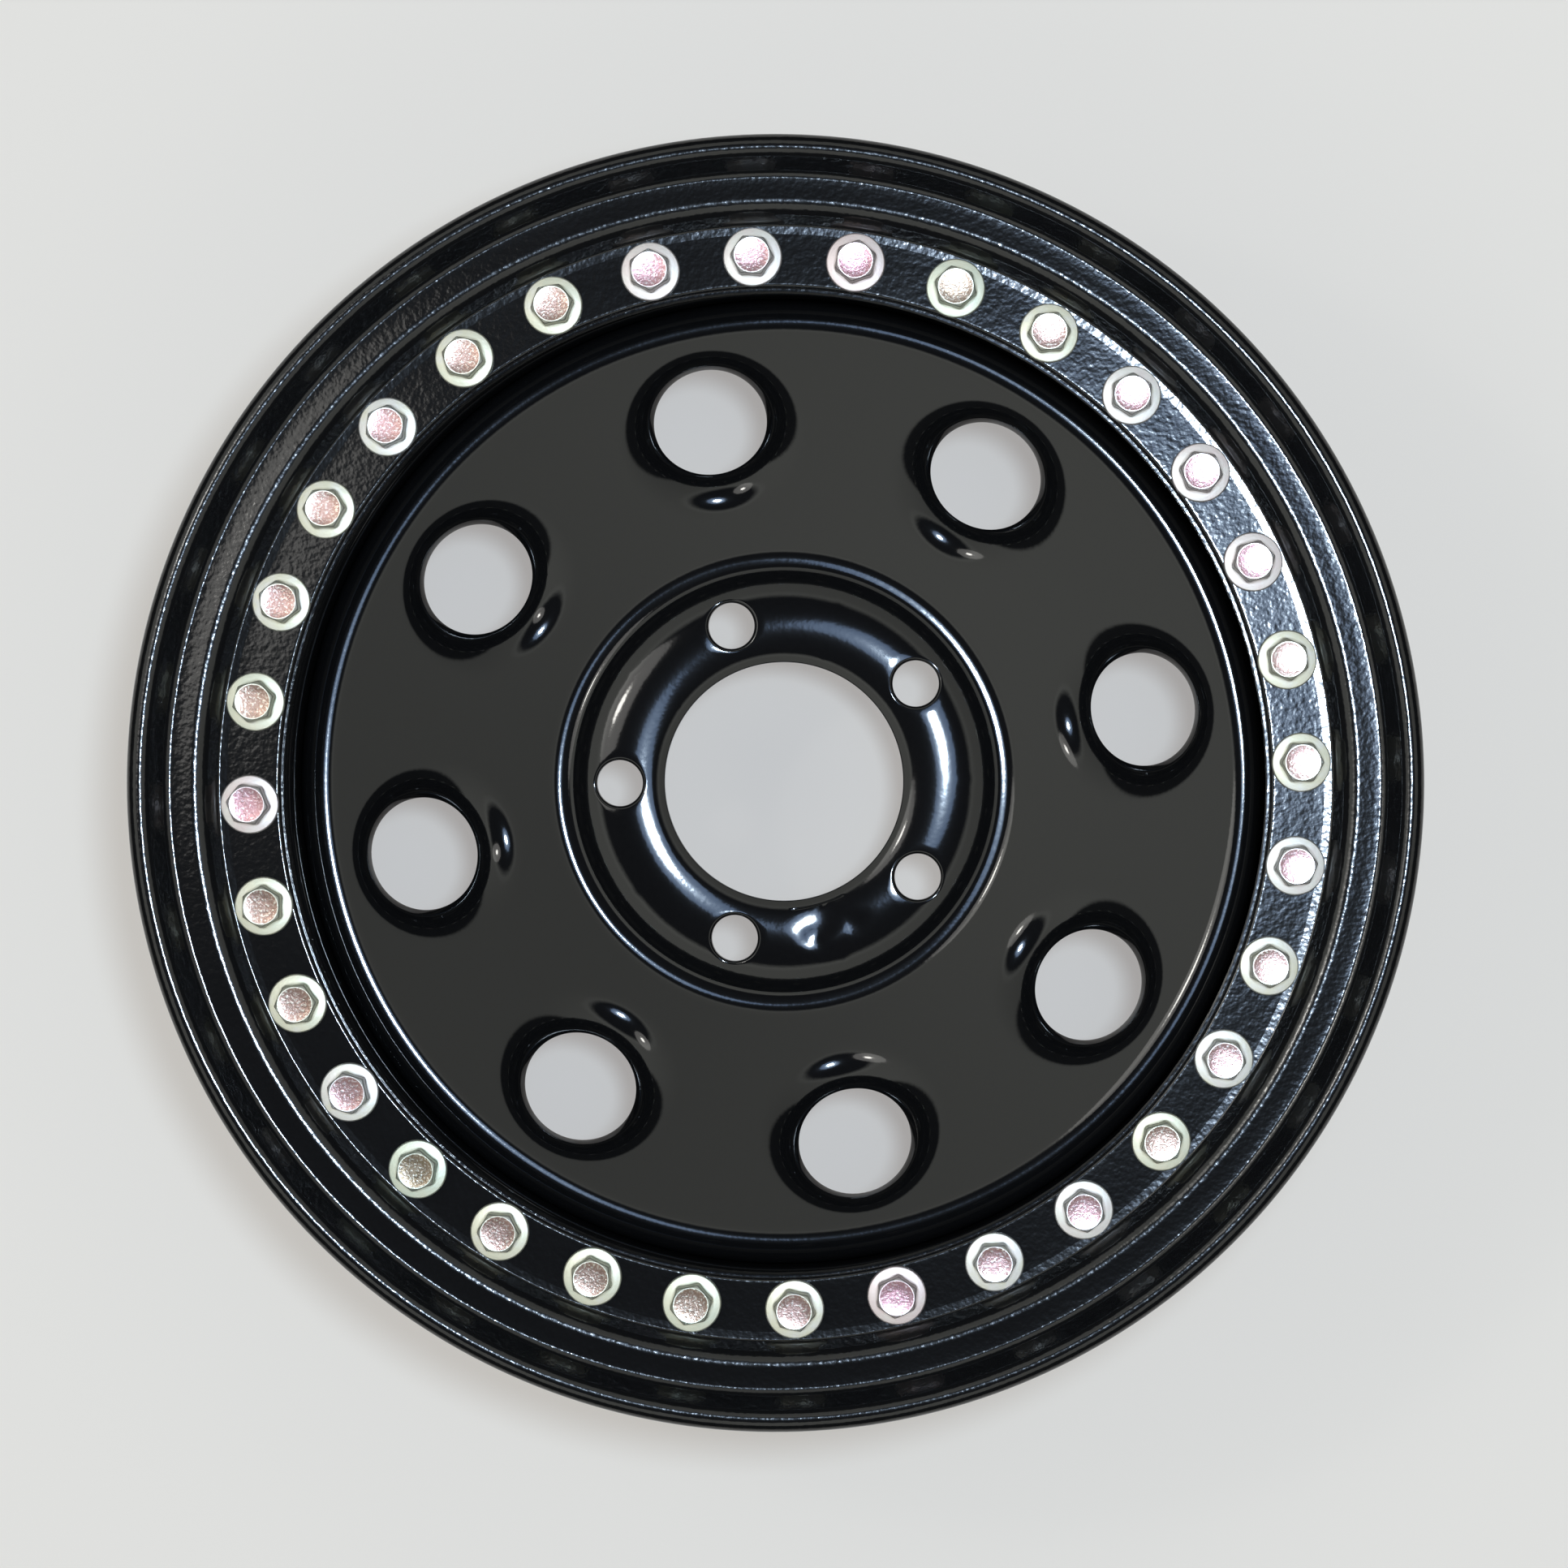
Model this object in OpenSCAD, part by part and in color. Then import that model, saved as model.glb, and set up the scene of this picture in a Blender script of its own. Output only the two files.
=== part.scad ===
// Steel beadlock wheel, 15 x 8 in, lying face up on its rear flange.
// The origin is the centre of the hub mounting face and +Z points outboard.
// Every round piece is a revolved profile, drawn as a path of lines and arcs
// in the (radius, height) plane and given its sheet thickness.

/* [Hub] */
// Diameter of the centre bore
bore_d = 83.06; // [78:0.01:86]
// Pitch circle diameter of the lug holes
lug_pcd = 114.3; // [110:0.1:118]
// Number of lug holes
lug_n = 5; // [4, 5]
// Diameter of a lug hole
lug_d = 15.2; // [14:0.1:16]
// Azimuth of the first lug hole
lug_az = 36.6; // [0:0.1:72]
// Distance from the mounting face back to the rear flange
backspacing = 101.6; // [96:0.1:106]

/* [Centre disc] */
// Thickness of the disc sheet
disc_t = 4.5; // [4:0.1:5]
// Slope of the dished cone, which deepens towards the hub
cone_slope = 22; // [20:0.5:23]
// Radius of the rolled crest round the dish
crest_r = 158; // [157:0.1:159]
// Height at which the flange of the disc ends inside the barrel
disc_foot_z = 11; // [8:0.5:14]

/* [Windows] */
// Number of round windows
window_n = 8; // [6:1:8]
// Azimuth of the first window
window_az = 11.4; // [0:0.1:45]
// Radius of a window at its narrowest
window_r = 19.4; // [18:0.1:20]
// Radius from the wheel axis to the middle of a window seat
window_pitch_r = 124.2; // [122:0.1:125]
// Inward tilt of the window seat
window_tilt = 25; // [23:0.5:26]

/* [Rim barrel] */
// Thickness of the barrel sheet
barrel_t = 4; // [3.5:0.1:4.2]
// Radius over the rear flange
flange_r = 207.4; // [205:0.1:209]
// Radius of the bead seat at its heel
seat_r = 190.1; // [189:0.1:191]
// Radius over the drop centre
well_r = 169; // [168.5:0.1:169.5]
// Radius over the front end of the barrel
nose_r = 184.1; // [183.6:0.1:184.6]

/* [Beadlock] */
// Radius over the clamp ring
ring_r = 209.55; // [209:0.05:210]
// Thickness of the clamp ring sheet
ring_t = 3.8; // [3.4:0.1:3.9]
// Height of the bolt band of the clamp ring
band_z = 112; // [110:0.5:114]
// Radius of the hole through the clamp ring
ring_bore_r = 160.8; // [160.4:0.1:161.2]
// Number of ring bolts
bolt_n = 32; // [24:1:32]
// Azimuth of the first ring bolt
bolt_az = 2.3; // [0:0.1:11]
// Pitch circle radius of the ring bolts
bolt_pitch_r = 171; // [170.8:0.1:171.2]
// Shank diameter of a ring bolt
bolt_d = 8; // [7.8:0.1:8.4]
// Width across the flats of a bolt head
bolt_af = 12; // [11.6:0.1:12.7]
// Diameter of the flange under a bolt head
bolt_flange_d = 19.2; // [18.4:0.1:19.2]
// Length of a ring bolt under its head
bolt_len = 25; // [22:0.5:28]

/* [Hidden] */
$fn = 96;

// Degrees of turn for each straight step of an arc in a profile
arc_step = 12;

// Hub pad: a dome round the lug circle, then a flat foot, then a step up
dome_top_r = 52.6;
dome_curve_r = 29;
dome_start_r = 39;
foot_r0 = 65;
foot_w = 2;
foot_curve_r = 4;
step_slope = 50;
step_foot_curve_r = 8;
step_top_curve_r = 5.7;
ledge_w = 2;
ledge_curve_r = 8;
crest_in_curve_r = 14.6;
crest_out_curve_r = well_r - barrel_t - crest_r;

// Lug seats: flat round spots with a 60 degree cone
lug_seat_r = 10.5;
lug_seat_z = 6.5;
lug_cone_r = 9.4;
lug_cone_h = (lug_cone_r - lug_d / 2) / tan(30);

// Windows: the edge rolls back through a bell mouth, in a seat that is
// pressed deeper than the cone on its hub side
mouth_curve_r = 16;
mouth_turn = 44;
mouth_w = mouth_curve_r * sin(mouth_turn);
mouth_depth = mouth_curve_r * (1 - cos(mouth_turn));
seat_rim = 0.5;
seat_flat_r = window_r + mouth_w + seat_rim;
seat_wall_curve_r = 8;
seat_wall_slope = 30;
seat_wall_w = 8;
back_steps = 4;
window_reach = 30;

// Rear flange, bead seat and hump of the barrel
flange_curl_r = 9;
flange_lip_w = 5.8;
heel_curve_r = 6.5;
seat_taper = 5;
seat_w = 18;
hump_up = 18;
hump_foot_curve_r = 8;
hump_curve_r = 10;
rear_ramp = 38;
front_ramp = 50;
ramp_curve_r = 12;
front_curve_r = 8;
well_front_z = 46;
nose_z = 100;

// Valve hole through the front ramp of the barrel
valve_hole_r = 5.75;
valve_az = 174;

// Clamp ring: two rolled steps up from the bolt band to the lip
band_end_r = 180.7;
step1_foot_curve_r = 1.2;
step1_slope = 50;
step1_top_r = 184.3;
step1_top_curve_r = 7;
shelf_dip = 7;
shelf_w = 2.5;
valley_curve_r = 12;
step2_slope = 52;
step2_foot_curve_r = 3.6;
lip_curve_in_r = 4.45;
lip_curve_out_r = 4.05;
lip_skirt = 5;

// Inner ring: bolt plate, bead shoulder and bead flange
plate_top_z = band_z - ring_t;
plate_t = 6.35;
plate_bore_r = 160.2;
shoulder_foot_z = 97;
bead_flange_t = 6;
bead_flange_r = 206.5;
bead_flange_edge_r = 2.4;
bead_flange_z0 = shoulder_foot_z - bead_flange_t;
shoulder_fillet_r = 2;
shoulder_chamfer = 1.5;

// Welds: a fillet bead with a slightly raised belly
weld_leg = 4.5;
disc_weld_leg = 4;
weld_belly = 0.62;
disc_weld_n = 8;
disc_weld_arc = 30;

// Bolts and nuts
bolt_hole_r = 4.5;
flange_edge = 0.3;
flange_rim_h = 1.3;
flange_h = 2.2;
head_h = 8.1;
head_corner_r = bolt_af / sqrt(3);
head_top_r = bolt_af / 2 * 0.95;
head_chamfer = 30;
tip_h = 1.2;
nut_af = 13;
nut_h = 8;
nut_corner_r = nut_af / sqrt(3);
nut_pilot_gap = 0.05;
hex_turn_step = 37;

// How far a cutting tool stands out of the sheet
tool_out = 10;

black = [0.05, 0.05, 0.055];
zinc = [0.80, 0.74, 0.62];
bare_weld = [0.09, 0.09, 0.09];

// Path helpers: a heading of 0 runs outwards and 90 runs up
function last(p) = p[len(p) - 1];
function ahead(p, heading, length) = p + length * [cos(heading), sin(heading)];
function turn_steps(a, b) = max(1, ceil(abs(b - a) / arc_step));
function arc_centre(p, a, r, side) = p + side * r * [-sin(a), cos(a)];
function arc_from(p, a, b, r) =
    let (side = b > a ? 1 : -1, c = arc_centre(p, a, r, side), n = turn_steps(a, b))
    [for (i = [1:n]) let (h = a + (b - a) * i / n) c + side * r * [sin(h), -cos(h)]];

// Offsets a path sideways: positive is to the left of its heading
function seg_heading(p, i) = let (v = p[i + 1] - p[i]) atan2(v[1], v[0]);
function wrap(a) = a > 180 ? a - 360 : a < -180 ? a + 360 : a;
function side_point(p, i, t) =
    i == 0 ? p[0] + t * [-sin(seg_heading(p, 0)), cos(seg_heading(p, 0))]
    : i == len(p) - 1 ? last(p) + t * [-sin(seg_heading(p, i - 1)), cos(seg_heading(p, i - 1))]
    : let (a = seg_heading(p, i - 1), half = wrap(seg_heading(p, i) - a) / 2, h = a + half)
      p[i] + t / cos(half) * [-sin(h), cos(h)];
function side_path(p, t) = [for (i = [0:len(p) - 1]) side_point(p, i, t)];
function reversed(p) = [for (i = [len(p) - 1:-1:0]) p[i]];
function sheet(p, t) = concat(p, reversed(side_path(p, t)));

// Front face of the disc, from inside the bore out to the flange foot
dome_out_slope = asin((foot_r0 - dome_top_r) / (dome_curve_r + foot_curve_r));
dome_in_slope = asin((dome_top_r - dome_start_r) / dome_curve_r);
dome_end_z = disc_t + foot_curve_r * (1 - cos(dome_out_slope));
dome_top_z = dome_end_z + dome_curve_r * (1 - cos(dome_out_slope));
dome_start = [dome_start_r, dome_top_z - dome_curve_r * (1 - cos(dome_in_slope))];
dome = concat([dome_start], arc_from(dome_start, dome_in_slope, -dome_out_slope, dome_curve_r));
foot_in = arc_from(last(dome), -dome_out_slope, 0, foot_curve_r);
foot_end = ahead(last(foot_in), 0, foot_w);
step_foot = arc_from(foot_end, 0, step_slope, step_foot_curve_r);
step_top = arc_from(last(step_foot), step_slope, 0, step_top_curve_r);
ledge_end = ahead(last(step_top), 0, ledge_w);
cone_foot = arc_from(ledge_end, 0, cone_slope, ledge_curve_r);
cone_r0 = last(cone_foot)[0];
cone_z0 = last(cone_foot)[1];
cone_r1 = crest_r - crest_in_curve_r * sin(cone_slope);
cone_end = [cone_r1, cone_z0 + (cone_r1 - cone_r0) * tan(cone_slope)];
crest_in = arc_from(cone_end, cone_slope, 0, crest_in_curve_r);
crest_out = arc_from(last(crest_in), 0, -90, crest_out_curve_r);
disc_foot = [last(crest_out)[0], disc_foot_z];
disc_front = concat(dome, foot_in, [foot_end], step_foot, step_top, [ledge_end],
                    cone_foot, [cone_end], crest_in, crest_out, [disc_foot]);
function cone_z(r) = cone_z0 + (r - cone_r0) * tan(cone_slope);

// The window seat meets the cone at the outer end of its bell mouth
seat_meet_r = window_pitch_r + (window_r + mouth_w) * cos(window_tilt);
seat_z = cone_z(seat_meet_r) - (window_r + mouth_w) * sin(window_tilt);

// Outer face of the barrel, from the rear lip forwards
lip_start = [flange_r, -backspacing];
lip_end = ahead(lip_start, 90, flange_lip_w);
curl = arc_from(lip_end, 90, 180, flange_curl_r);
face_end = ahead(last(curl), 180, flange_r - flange_curl_r - seat_r - heel_curve_r);
heel = arc_from(face_end, 180, 90 + seat_taper, heel_curve_r);
seat_end = ahead(last(heel), 90 + seat_taper, seat_w);
hump_foot = arc_from(seat_end, 90 + seat_taper, 90 - hump_up, hump_foot_curve_r);
hump = arc_from(last(hump_foot), 90 - hump_up, 90 + rear_ramp, hump_curve_r);
rear_ramp_drop = last(hump)[0] - well_r - ramp_curve_r * (1 - cos(rear_ramp));
rear_ramp_end = ahead(last(hump), 90 + rear_ramp, rear_ramp_drop / sin(rear_ramp));
well_in = arc_from(rear_ramp_end, 90 + rear_ramp, 90, ramp_curve_r);
well_end = [well_r, well_front_z];
well_out = arc_from(well_end, 90, 90 - front_ramp, front_curve_r);
front_ramp_rise = nose_r - well_r - 2 * front_curve_r * (1 - cos(front_ramp));
front_ramp_end = ahead(last(well_out), 90 - front_ramp, front_ramp_rise / sin(front_ramp));
nose_in = arc_from(front_ramp_end, 90 - front_ramp, 90, front_curve_r);
nose_end = [nose_r, nose_z];
barrel_outer = concat([lip_start, lip_end], curl, [face_end], heel, [seat_end], hump_foot,
                      hump, [rear_ramp_end], well_in, [well_end], well_out,
                      [front_ramp_end], nose_in, [nose_end]);
valve_p = (last(well_out) + front_ramp_end) / 2;

// Front face of the clamp ring, from its bore out to the end of its lip
band_start = [ring_bore_r, band_z];
band_end = [band_end_r, band_z];
step1_foot = arc_from(band_end, 0, step1_slope, step1_foot_curve_r);
step1_run = (step1_top_r - last(step1_foot)[0]) / cos(step1_slope);
step1_end = ahead(last(step1_foot), step1_slope, step1_run);
step1_top = arc_from(step1_end, step1_slope, -shelf_dip, step1_top_curve_r);
shelf_end = ahead(last(step1_top), -shelf_dip, shelf_w);
valley = arc_from(shelf_end, -shelf_dip, shelf_dip, valley_curve_r);
step2_foot = arc_from(last(valley), shelf_dip, step2_slope, step2_foot_curve_r);
step2_top_r = ring_r - lip_curve_out_r - lip_curve_in_r * sin(step2_slope);
step2_run = (step2_top_r - last(step2_foot)[0]) / cos(step2_slope);
step2_end = ahead(last(step2_foot), step2_slope, step2_run);
lip_in = arc_from(step2_end, step2_slope, 0, lip_curve_in_r);
lip_out = arc_from(last(lip_in), 0, -90, lip_curve_out_r);
lip_foot = ahead(last(lip_out), -90, lip_skirt);
ring_front = concat([band_start, band_end], step1_foot, [step1_end], step1_top, [shelf_end],
                    valley, step2_foot, [step2_end], lip_in, lip_out, [lip_foot]);

// Repeats its children round the wheel axis
module around(n, az) {
    for (k = [0:n - 1]) rotate([0, 0, az + 360 * k / n]) children();
}

// Puts its children on a window seat, with their own z axis along its normal
module on_window_seat() {
    translate([window_pitch_r, 0, seat_z]) rotate([0, -window_tilt, 0]) children();
}

// Everything in front of a window seat: the mouth, the seat and its wall
module window_cut() {
    mouth_top = [window_r + mouth_w, 0];
    steps = turn_steps(0, mouth_turn);
    mouth = reversed(concat([mouth_top], [for (i = [1:steps]) let (h = mouth_turn * i / steps)
        mouth_top - mouth_curve_r * [sin(h), 1 - cos(h)]]));
    flat_end = [seat_flat_r, 0];
    wall_foot = arc_from(flat_end, 0, seat_wall_slope, seat_wall_curve_r);
    wall_end = ahead(last(wall_foot), seat_wall_slope, seat_wall_w);
    rotate_extrude()
        polygon(concat([[0, -window_reach], [window_r, -window_reach],
                        [window_r, -mouth_depth]], mouth,
                       [flat_end], wall_foot, [wall_end, [0, wall_end[1]]]));
}

// The metal behind a window seat, as a block that ends inside the cone sheet
module window_back() {
    back_curve_r = mouth_curve_r - disc_t;
    foot_z = -mouth_curve_r + back_curve_r * cos(mouth_turn);
    curve = [for (i = [0:back_steps]) let (h = mouth_turn * (1 - i / back_steps))
        [window_r + mouth_w - back_curve_r * sin(h), -mouth_curve_r + back_curve_r * cos(h)]];
    flat_end = [seat_flat_r, -disc_t];
    wall_foot = arc_from(flat_end, 0, seat_wall_slope, seat_wall_curve_r + disc_t);
    wall_end = ahead(last(wall_foot), seat_wall_slope, seat_wall_w);
    sink = disc_t / 3;
    reach = 2 * wall_end[0];
    intersection() {
        rotate_extrude()
            polygon(concat([[0, foot_z]], curve, [flat_end], wall_foot,
                           [wall_end, [0, wall_end[1]]]));
        translate([window_r + mouth_w, 0, -sink]) rotate([0, window_tilt - cone_slope, 0])
            translate([-reach, -reach / 2, -reach]) cube([1.5 * reach, reach, reach]);
    }
}

// Pressed centre disc with its windows, lug seats and bore
module centre_disc() {
    color(black) difference() {
        union() {
            rotate_extrude() polygon(sheet(disc_front, -disc_t));
            around(window_n, window_az) on_window_seat() window_back();
            around(lug_n, lug_az) translate([lug_pcd / 2, 0, disc_t / 2])
                cylinder(r = lug_seat_r, h = lug_seat_z - disc_t / 2);
        }
        around(window_n, window_az) on_window_seat() window_cut();
        around(lug_n, lug_az) translate([lug_pcd / 2, 0, 0]) {
            translate([0, 0, -tool_out]) cylinder(d = lug_d, h = 2 * tool_out);
            translate([0, 0, lug_seat_z]) cylinder(r = lug_seat_r, h = tool_out);
            translate([0, 0, lug_seat_z - lug_cone_h])
                cylinder(r1 = lug_d / 2, r2 = lug_cone_r, h = lug_cone_h);
        }
        translate([0, 0, -tool_out]) cylinder(d = bore_d, h = 3 * tool_out);
        translate([0, 0, -tool_out]) cylinder(r = foot_r0 - foot_curve_r, h = tool_out);
    }
}

// Rolled rim barrel with its valve hole
module rim_barrel() {
    color(black) difference() {
        rotate_extrude() polygon(sheet(barrel_outer, barrel_t));
        rotate([0, 0, valve_az]) translate([valve_p[0], 0, valve_p[1]])
            rotate([0, 90 + front_ramp, 0]) translate([0, 0, -tool_out])
                cylinder(r = valve_hole_r, h = 2 * tool_out);
    }
}

// Section of a weld in the corner c, with a leg along each of its two walls
function bead(c, r_leg, z_leg) =
    [c, c + [r_leg, 0], c + weld_belly * [r_leg, z_leg], c + [0, z_leg]];

// Stitch welds between the foot of the disc and the well of the barrel
module disc_welds() {
    corner = [well_r - barrel_t, disc_foot_z];
    color(bare_weld) around(disc_weld_n, window_az + 180 / window_n - disc_weld_arc / 2)
        rotate_extrude(angle = disc_weld_arc)
            polygon(bead(corner, -disc_weld_leg, -weld_leg));
}

// Welded inner half of the beadlock: bolt plate, shoulder and bead flange
module inner_ring() {
    e = bead_flange_edge_r;
    z0 = bead_flange_z0;
    z1 = shoulder_foot_z;
    plate_bottom_z = plate_top_z - plate_t;
    edge_low = arc_from([bead_flange_r - e, z0], 0, 90, e);
    edge_high = arc_from([bead_flange_r, z1 - e], 90, 180, e);
    fillet_start = [seat_r + shoulder_fillet_r, z1];
    fillet = arc_from(fillet_start, 180, 90, shoulder_fillet_r);
    color(black) difference() {
        rotate_extrude()
            polygon(concat([[plate_bore_r, plate_bottom_z], [nose_r, plate_bottom_z],
                            [nose_r, z0], [bead_flange_r - e, z0]], edge_low,
                           [[bead_flange_r, z1 - e]], edge_high, [fillet_start], fillet,
                           [[seat_r, plate_top_z - shoulder_chamfer],
                            [seat_r - shoulder_chamfer, plate_top_z],
                            [plate_bore_r, plate_top_z]]));
        around(bolt_n, bolt_az) translate([bolt_pitch_r, 0, plate_bottom_z - tool_out])
            cylinder(r = bolt_hole_r, h = plate_t + 2 * tool_out);
    }
}

// Airtight weld between the barrel and the inner ring
module ring_weld() {
    color(bare_weld) rotate_extrude()
        polygon(bead([nose_r, bead_flange_z0], weld_leg, -weld_leg));
}

// Pressed outer clamp ring
module clamp_ring() {
    color(black) difference() {
        rotate_extrude() polygon(sheet(ring_front, -ring_t));
        around(bolt_n, bolt_az) translate([bolt_pitch_r, 0, band_z - ring_t - tool_out])
            cylinder(r = bolt_hole_r, h = ring_t + 2 * tool_out);
    }
}

// One flange bolt: its flange, chamfered hexagon and shank
module ring_bolt() {
    shank_r = bolt_d / 2;
    rim_r = bolt_flange_d / 2;
    rotate_extrude()
        polygon([[0, -bolt_len], [shank_r - tip_h, -bolt_len], [shank_r, -bolt_len + tip_h],
                 [shank_r, 0], [rim_r - flange_edge, 0], [rim_r, flange_edge],
                 [rim_r, flange_rim_h], [head_corner_r, flange_h], [0, flange_h]]);
    intersection() {
        translate([0, 0, flange_rim_h])
            cylinder(r = head_corner_r, h = head_h - flange_rim_h, $fn = 6);
        rotate_extrude()
            polygon([[0, 0], [rim_r, 0], [rim_r, head_h - (rim_r - head_top_r) * tan(head_chamfer)],
                     [head_top_r, head_h], [0, head_h]]);
    }
}

module ring_bolts() {
    color(zinc) for (k = [0:bolt_n - 1])
        rotate([0, 0, bolt_az + 360 * k / bolt_n]) translate([bolt_pitch_r, 0, band_z])
            rotate([0, 0, hex_turn_step * k % 60]) ring_bolt();
}

// Nuts welded behind the bolt plate
module weld_nuts() {
    nut_z = plate_top_z - plate_t - nut_h;
    color(bare_weld) around(bolt_n, bolt_az) translate([bolt_pitch_r, 0, nut_z]) difference() {
        cylinder(r = nut_corner_r, h = nut_h, $fn = 6);
        translate([0, 0, -tool_out])
            cylinder(r = bolt_d / 2 + nut_pilot_gap, h = nut_h + 2 * tool_out);
    }
}

rim_barrel();
centre_disc();
disc_welds();
inner_ring();
ring_weld();
clamp_ring();
ring_bolts();
weld_nuts();
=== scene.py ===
"""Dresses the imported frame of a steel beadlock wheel.

Each black sheet piece is drawn as a section and spun, the disc is pressed
from a flat blank of sectors, and one flange bolt is turned and copied round
the ring. Sizes are in metres in the panel and in millimetres in sections.
"""

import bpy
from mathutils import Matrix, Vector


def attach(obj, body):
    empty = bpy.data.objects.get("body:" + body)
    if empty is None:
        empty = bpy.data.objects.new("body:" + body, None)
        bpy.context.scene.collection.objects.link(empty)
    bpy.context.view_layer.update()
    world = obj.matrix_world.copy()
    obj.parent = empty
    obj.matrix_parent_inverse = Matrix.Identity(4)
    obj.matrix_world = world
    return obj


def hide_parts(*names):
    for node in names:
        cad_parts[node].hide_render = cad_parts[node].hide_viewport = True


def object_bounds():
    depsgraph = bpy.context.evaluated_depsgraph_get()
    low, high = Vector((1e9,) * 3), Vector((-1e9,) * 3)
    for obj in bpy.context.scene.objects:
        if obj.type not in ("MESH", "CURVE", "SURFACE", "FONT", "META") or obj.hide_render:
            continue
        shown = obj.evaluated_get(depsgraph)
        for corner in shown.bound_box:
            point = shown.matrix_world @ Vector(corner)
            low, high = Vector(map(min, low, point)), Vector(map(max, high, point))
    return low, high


bl_info = {
    "name": "Beadlock Wheel",
    "version": (1, 0, 0),
    "blender": (4, 5, 0),
    "location": "3D View > Sidebar > Wheel",
    "description": "Builds the visual pieces of a steel beadlock wheel over its packed frame",
    "category": "Object",
}

import math

import bmesh
import bpy
from bpy.props import FloatProperty, FloatVectorProperty, IntProperty, PointerProperty
from mathutils import Matrix, Vector

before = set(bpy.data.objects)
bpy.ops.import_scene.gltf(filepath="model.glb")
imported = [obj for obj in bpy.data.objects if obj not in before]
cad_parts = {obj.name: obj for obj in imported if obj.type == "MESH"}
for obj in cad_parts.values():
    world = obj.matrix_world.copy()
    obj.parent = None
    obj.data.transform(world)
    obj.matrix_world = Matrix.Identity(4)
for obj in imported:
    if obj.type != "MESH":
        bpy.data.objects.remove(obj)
CAD_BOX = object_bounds()

MM = 0.001
TURN = 2 * math.pi


# ---------------------------------------------------------------- properties


def length(name, description, default):
    return FloatProperty(
        name=name, description=description, default=default, unit="LENGTH", precision=5, min=0.0
    )


def tint(name, description, default):
    return FloatVectorProperty(
        name=name, description=description, default=default, size=3, subtype="COLOR", min=0.0, max=1.0
    )


class WheelSizes(bpy.types.PropertyGroup):
    """Sizes of the sheet pieces and the bolts"""

    bore_radius: length("Bore radius", "Radius of the centre bore", 0.04153)
    disc_sheet: length("Disc sheet", "Thickness of the disc sheet", 0.0045)
    barrel_sheet: length("Barrel sheet", "Thickness of the barrel sheet", 0.004)
    ring_sheet: length("Ring sheet", "Thickness of the clamp ring sheet", 0.0038)
    ring_radius: length("Ring radius", "Radius over the clamp ring", 0.20955)
    band_height: length("Band height", "Height of the bolt band", 0.112)
    window_radius: length("Window radius", "Radius of a window at its narrowest", 0.0194)
    window_pitch: length("Window pitch", "Radius of the circle of windows", 0.1238)
    bolt_pitch: length("Bolt pitch", "Radius of the circle of ring bolts", 0.171)
    bolt_flats: length("Bolt flats", "Width across the flats of a bolt head", 0.012)
    bolt_flange: length("Bolt flange", "Diameter of the flange of a bolt", 0.0192)
    windows: IntProperty(name="Windows", description="Number of windows", default=8, min=6, max=8)
    bolts: IntProperty(name="Bolts", description="Number of ring bolts", default=32, min=24, max=32)


class WheelFinish(bpy.types.PropertyGroup):
    """Colours of the finishes"""

    black: tint("Black", "Colour under the gloss of the powder coat", (0.0035, 0.0035, 0.0038))
    zinc: tint("Zinc", "Bare zinc of the bolts", (0.86, 0.86, 0.84))
    chromate_yellow: tint("Yellow chromate", "Yellow part of the bolt film", (0.83, 0.82, 0.68))
    chromate_pink: tint("Pink chromate", "Pink part of the bolt film", (0.84, 0.73, 0.73))
    chromate_green: tint("Green chromate", "Green part of the bolt film", (0.72, 0.80, 0.70))
    floor: tint("Floor", "Colour of the floor in the light", (0.80, 0.765, 0.71))
    paper: tint("Paper", "Plain colour of the floor as the camera sees it", (0.92, 0.89, 0.875))


class WheelStage(bpy.types.PropertyGroup):
    """Camera and lights"""

    camera_height: length("Camera height", "Height of the camera over the mounting face", 1.581)
    camera_right: length("Camera right", "Offset of the camera to the right of the axis", 0.0495)
    camera_up: length("Camera up", "Offset of the camera up from the axis", 0.0095)
    lens: FloatProperty(name="Lens", description="Focal length in mm", default=103.86, min=10.0)
    key_power: FloatProperty(name="Key power", description="Power of the key light", default=13.0, subtype="POWER")
    glow_power: FloatProperty(name="Glow power", description="Power of the key's glow", default=1.5, subtype="POWER")
    side_power: FloatProperty(name="Side power", description="Power of the side light", default=0.8, subtype="POWER")
    panel_power: FloatProperty(name="Panel power", description="Power of the side panel", default=1.3, subtype="POWER")
    room: FloatProperty(name="Room", description="Brightness of the pale room", default=1.16, min=0.0)


# ---------------------------------------------------------------- mesh tools


def deselect():
    """Leaves edit mode and clears the selection."""
    if bpy.context.mode != "OBJECT":
        bpy.ops.object.mode_set(mode="OBJECT")
    bpy.ops.object.select_all(action="DESELECT")


def activate(obj):
    deselect()
    obj.select_set(True)
    bpy.context.view_layer.objects.active = obj


def apply_modifier(obj, kind, **settings):
    """Adds a modifier with these settings and applies it."""
    activate(obj)
    mod = obj.modifiers.new(kind.title(), kind)
    for key, value in settings.items():
        setattr(mod, key, value)
    bpy.ops.object.modifier_apply(modifier=mod.name)


def seat_in_mesh(obj):
    """Moves the object's place into its mesh."""
    activate(obj)
    bpy.ops.object.transform_apply(location=True, rotation=True, scale=True)


def merge_and_turn_out(obj):
    """Welds doubled points and points every face outwards."""
    activate(obj)
    bpy.ops.object.mode_set(mode="EDIT")
    bpy.ops.mesh.select_all(action="SELECT")
    bpy.ops.mesh.remove_doubles(threshold=2e-6)
    bpy.ops.mesh.normals_make_consistent(inside=False)
    bpy.ops.object.mode_set(mode="OBJECT")


def smooth(obj, angle=50.0):
    activate(obj)
    bpy.ops.object.shade_smooth_by_angle(angle=math.radians(angle))


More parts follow.
